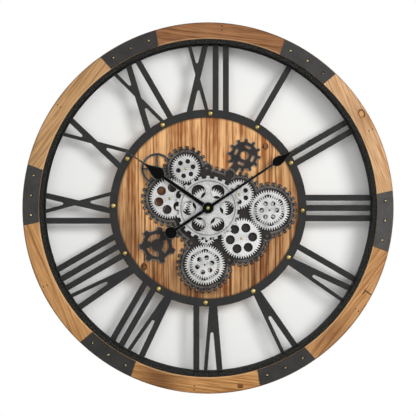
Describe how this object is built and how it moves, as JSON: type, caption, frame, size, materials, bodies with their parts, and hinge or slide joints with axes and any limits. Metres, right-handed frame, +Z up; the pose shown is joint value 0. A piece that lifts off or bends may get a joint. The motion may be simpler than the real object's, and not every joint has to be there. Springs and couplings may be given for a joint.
{
  "type": "wall clock",
  "caption": "Round wall clock with a wooden rim on an iron hoop, cut Roman numerals, a wooden dial disc, spade hands and an open train of turning gear wheels.",
  "frame": {"origin": "on the hand axis, in the plane of the wall behind the clock", "axes": "+X to the reader's right, +Y into the wall, +Z up; the dial faces -Y"},
  "size_m": [0.5998, 0.0505, 0.5998],
  "materials": {
    "rim_wood": "oiled, burnt edges",
    "disc_wood": "torched pine, waxed",
    "black_iron": "matt black",
    "dark_steel": "satin charcoal",
    "brass": "antique",
    "case_moulding": "charcoal with silver rubbed on the edges",
    "silver_wheel": "silver paint, speckled",
    "hand_enamel": "gloss black",
    "black_plastic": "moulded",
    "switch_plastic": "moulded",
    "cell_jacket": "plain jacket",
    "steel": "zinc plated"
  },
  "bodies": {
    "clock_frame": {"rim_segment_1": "rim_wood", "rim_segment_2": "rim_wood", "rim_segment_3": "rim_wood", "rim_segment_4": "rim_wood", "rim_segment_5": "rim_wood", "rim_segment_6": "rim_wood", "rim_hoop": "black_iron", "inner_ring": "black_iron", "numeral_1": "black_iron", "numeral_2": "black_iron", "numeral_3": "black_iron", "numeral_4": "black_iron", "numeral_5": "black_iron", "numeral_6": "black_iron", "numeral_7": "black_iron", "numeral_8": "black_iron", "numeral_9": "black_iron", "numeral_10": "black_iron", "numeral_11": "black_iron", "numeral_12": "black_iron", "rim_plates": "dark_steel", "dial_studs": "brass", "dial_disc": "disc_wood", "gear_case": "case_moulding", "case_screws": "steel", "axle_pins": "brass", "movement_case": "black_plastic", "movement_cover": "black_plastic", "gear_motor": "black_plastic", "battery_box": "black_plastic", "battery_cells": "cell_jacket", "centre_bushing": "brass", "bushing_nut": "brass", "hanger_plate": "steel", "hanger_screws": "steel"},
    "minute": {"minute_shaft": "steel", "minute_hand": "hand_enamel", "hand_nut": "brass"},
    "hour": {"hour_tube": "brass", "hour_hand": "hand_enamel"},
    "setting_knob": {"setting_knob": "black_plastic"},
    "centre": {"centre_wheel": "silver_wheel", "centre_front_wheel": "silver_wheel"},
    "left": {"left_wheel": "silver_wheel"},
    "upper_left": {"upper_left_wheel": "silver_wheel"},
    "upper_right": {"upper_right_wheel": "silver_wheel"},
    "right": {"right_wheel": "silver_wheel", "right_front_wheel": "silver_wheel"},
    "lower_right": {"lower_right_wheel": "silver_wheel"},
    "idler": {"idler_wheel": "silver_wheel"},
    "bottom": {"bottom_wheel": "silver_wheel", "bottom_front_wheel": "silver_wheel"},
    "power_switch": {"power_switch": "switch_plastic"}
  },
  "joints": [
    {"name": "minute_spin", "type": "hinge", "parent": "clock_frame", "child": "minute", "pos_m": [0, -0.046, 0], "axis": [0, 1, 0], "continuous": true},
    {"name": "hour_spin", "type": "hinge", "parent": "clock_frame", "child": "hour", "pos_m": [0, -0.043, 0], "axis": [0, 1, 0], "continuous": true},
    {"name": "setting_knob_spin", "type": "hinge", "parent": "clock_frame", "child": "setting_knob", "pos_m": [0, -0.002, 0.014], "axis": [0, 1, 0], "continuous": true},
    {"name": "centre_spin", "type": "hinge", "parent": "clock_frame", "child": "centre", "pos_m": [0, -0.0335, 0], "axis": [0, 1, 0], "continuous": true},
    {"name": "left_spin", "type": "hinge", "parent": "clock_frame", "child": "left", "pos_m": [-0.06215, -0.0335, 0.01527], "axis": [0, 1, 0], "continuous": true},
    {"name": "upper_left_spin", "type": "hinge", "parent": "clock_frame", "child": "upper_left", "pos_m": [-0.03623, -0.0335, 0.06382], "axis": [0, 1, 0], "continuous": true},
    {"name": "upper_right_spin", "type": "hinge", "parent": "clock_frame", "child": "upper_right", "pos_m": [0.05044, -0.0335, 0.02204], "axis": [0, 1, 0], "continuous": true},
    {"name": "right_spin", "type": "hinge", "parent": "clock_frame", "child": "right", "pos_m": [0.09912, -0.0335, -0.00363], "axis": [0, 1, 0], "continuous": true},
    {"name": "lower_right_spin", "type": "hinge", "parent": "clock_frame", "child": "lower_right", "pos_m": [0.05419, -0.0335, -0.0492], "axis": [0, 1, 0], "continuous": true},
    {"name": "idler_spin", "type": "hinge", "parent": "clock_frame", "child": "idler", "pos_m": [-0.00265, -0.0335, -0.046], "axis": [0, 1, 0], "continuous": true},
    {"name": "bottom_spin", "type": "hinge", "parent": "clock_frame", "child": "bottom", "pos_m": [-0.00531, -0.0335, -0.09201], "axis": [0, 1, 0], "continuous": true},
    {"name": "power_switch_slide", "type": "slide", "parent": "clock_frame", "child": "power_switch", "axis": [0, 0, 1], "range_m": [0, 0.004]}
  ],
  "couplings": [
    {"joint": "hour_spin", "follows": "minute_spin", "ratio": 0.083333},
    {"joint": "setting_knob_spin", "follows": "minute_spin", "ratio": -0.33333},
    {"joint": "left_spin", "follows": "centre_spin", "ratio": -1},
    {"joint": "upper_left_spin", "follows": "centre_spin", "ratio": 1.3889},
    {"joint": "upper_right_spin", "follows": "centre_spin", "ratio": -1.3889},
    {"joint": "right_spin", "follows": "centre_spin", "ratio": 1},
    {"joint": "lower_right_spin", "follows": "centre_spin", "ratio": -1},
    {"joint": "idler_spin", "follows": "centre_spin", "ratio": -2.2727},
    {"joint": "bottom_spin", "follows": "centre_spin", "ratio": 1}
  ]
}
